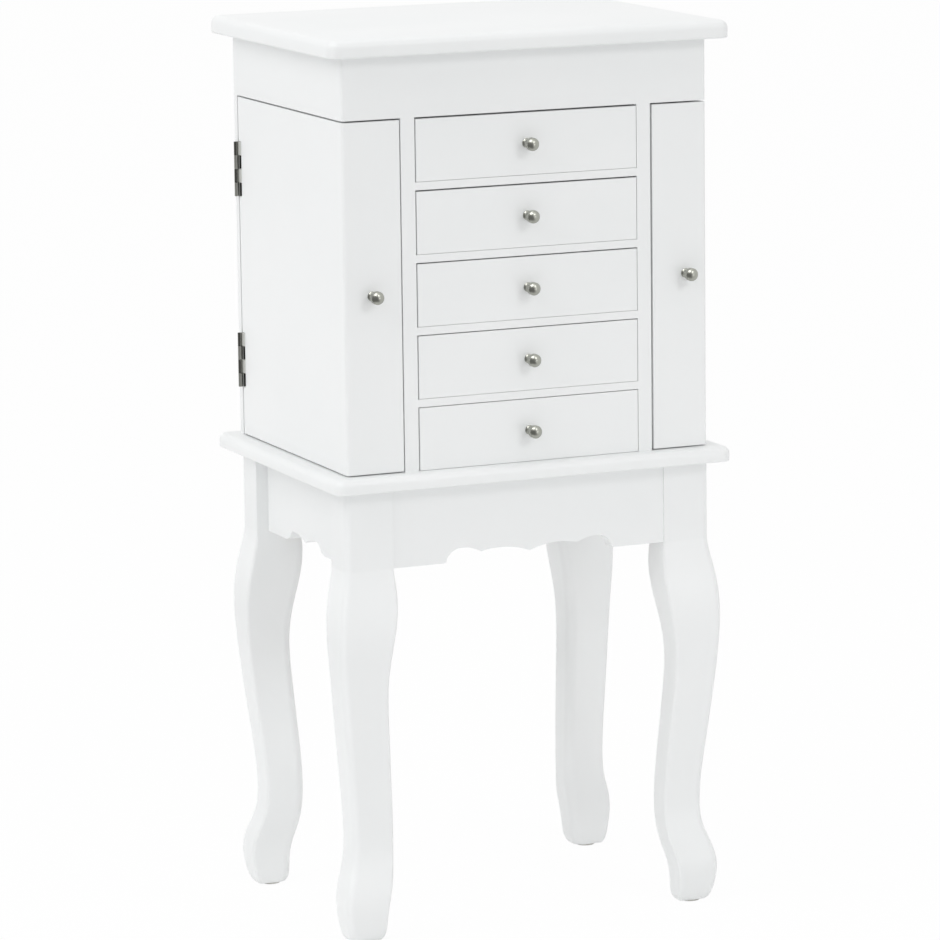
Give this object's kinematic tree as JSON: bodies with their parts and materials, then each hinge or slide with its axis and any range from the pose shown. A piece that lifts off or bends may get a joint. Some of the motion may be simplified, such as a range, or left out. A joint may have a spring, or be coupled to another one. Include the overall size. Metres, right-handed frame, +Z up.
{
  "type": "jewelry cabinet",
  "caption": "White free-standing jewelry cabinet on curved legs, with a mirrored flip-up lid over a ring tray, a stack of drawers and a necklace door on each side.",
  "frame": {"origin": "on the floor under the middle of the cabinet", "axes": "+X to the right seen from the front, the front faces -Y, +Z up"},
  "size_m": [0.384, 0.292, 0.8065],
  "materials": {
    "white_board": "satin white lacquer",
    "bare_beech": "bare planed wood",
    "nickel": "satin nickel plate",
    "bright_steel": "zinc-plated steel",
    "mirror": "silvered glass",
    "velvet": "short-pile velvet",
    "catch_plastic": "moulded plastic",
    "nylon": "white nylon"
  },
  "bodies": {
    "cabinet": {"leg_front_left": "white_board", "leg_front_right": "white_board", "leg_rear_left": "white_board", "leg_rear_right": "white_board", "apron_front": "white_board", "apron_rear": "white_board", "apron_left": "white_board", "apron_right": "white_board", "corner_blocks": "bare_beech", "leg_bolts": "bright_steel", "foot_glides": "nylon", "stand_top": "white_board", "back_panel": "white_board", "partition_left": "white_board", "partition_right": "white_board", "drawer_shelves": "white_board", "tray_deck": "white_board", "frieze_front": "white_board", "frieze_left": "white_board", "frieze_right": "white_board", "tray_divider": "white_board", "ring_cushions": "velvet", "hinge_body_leaves": "bright_steel", "hinge_pins": "bright_steel", "catch_magnets": "catch_plastic"},
    "lid": {"lid_board": "white_board", "mirror_frame": "white_board", "mirror_glass": "mirror", "lid_hinge_leaves": "bright_steel"},
    "door_left": {"door_left_front_panel": "white_board", "door_left_side_panel": "white_board", "door_left_hook_rail": "white_board", "door_left_floor": "white_board", "door_left_necklace_hooks": "nickel", "door_left_strike_plate": "bright_steel", "door_left_hinge_leaves": "bright_steel", "door_left_knob": "nickel"},
    "door_right": {"door_right_front_panel": "white_board", "door_right_side_panel": "white_board", "door_right_hook_rail": "white_board", "door_right_floor": "white_board", "door_right_necklace_hooks": "nickel", "door_right_strike_plate": "bright_steel", "door_right_hinge_leaves": "bright_steel", "door_right_knob": "nickel"},
    "drawer_1": {"drawer_1_front": "white_board", "drawer_1_box": "white_board", "drawer_1_knob": "nickel"},
    "drawer_2": {"drawer_2_front": "white_board", "drawer_2_box": "white_board", "drawer_2_knob": "nickel"},
    "drawer_3": {"drawer_3_front": "white_board", "drawer_3_box": "white_board", "drawer_3_knob": "nickel"},
    "drawer_4": {"drawer_4_front": "white_board", "drawer_4_box": "white_board", "drawer_4_knob": "nickel"},
    "drawer_5": {"drawer_5_front": "white_board", "drawer_5_box": "white_board", "drawer_5_knob": "nickel"}
  },
  "joints": [
    {"name": "lid_hinge", "type": "hinge", "parent": "cabinet", "child": "lid", "pos_m": [0, 0.13145, 0.78805], "axis": [-1, 0, 0], "range_deg": [0, 100]},
    {"name": "door_left_hinge", "type": "hinge", "parent": "cabinet", "child": "door_left", "pos_m": [-0.17745, 0.12, 0.5786], "axis": [0, 0, -1], "range_deg": [0, 110]},
    {"name": "door_right_hinge", "type": "hinge", "parent": "cabinet", "child": "door_right", "pos_m": [0.17745, 0.12, 0.5786], "axis": [0, 0, 1], "range_deg": [0, 110]},
    {"name": "drawer_1_slide", "type": "slide", "parent": "cabinet", "child": "drawer_1", "axis": [0, -1, 0], "range_m": [0, 0.15]},
    {"name": "drawer_2_slide", "type": "slide", "parent": "cabinet", "child": "drawer_2", "axis": [0, -1, 0], "range_m": [0, 0.15]},
    {"name": "drawer_3_slide", "type": "slide", "parent": "cabinet", "child": "drawer_3", "axis": [0, -1, 0], "range_m": [0, 0.15]},
    {"name": "drawer_4_slide", "type": "slide", "parent": "cabinet", "child": "drawer_4", "axis": [0, -1, 0], "range_m": [0, 0.15]},
    {"name": "drawer_5_slide", "type": "slide", "parent": "cabinet", "child": "drawer_5", "axis": [0, -1, 0], "range_m": [0, 0.15]}
  ]
}
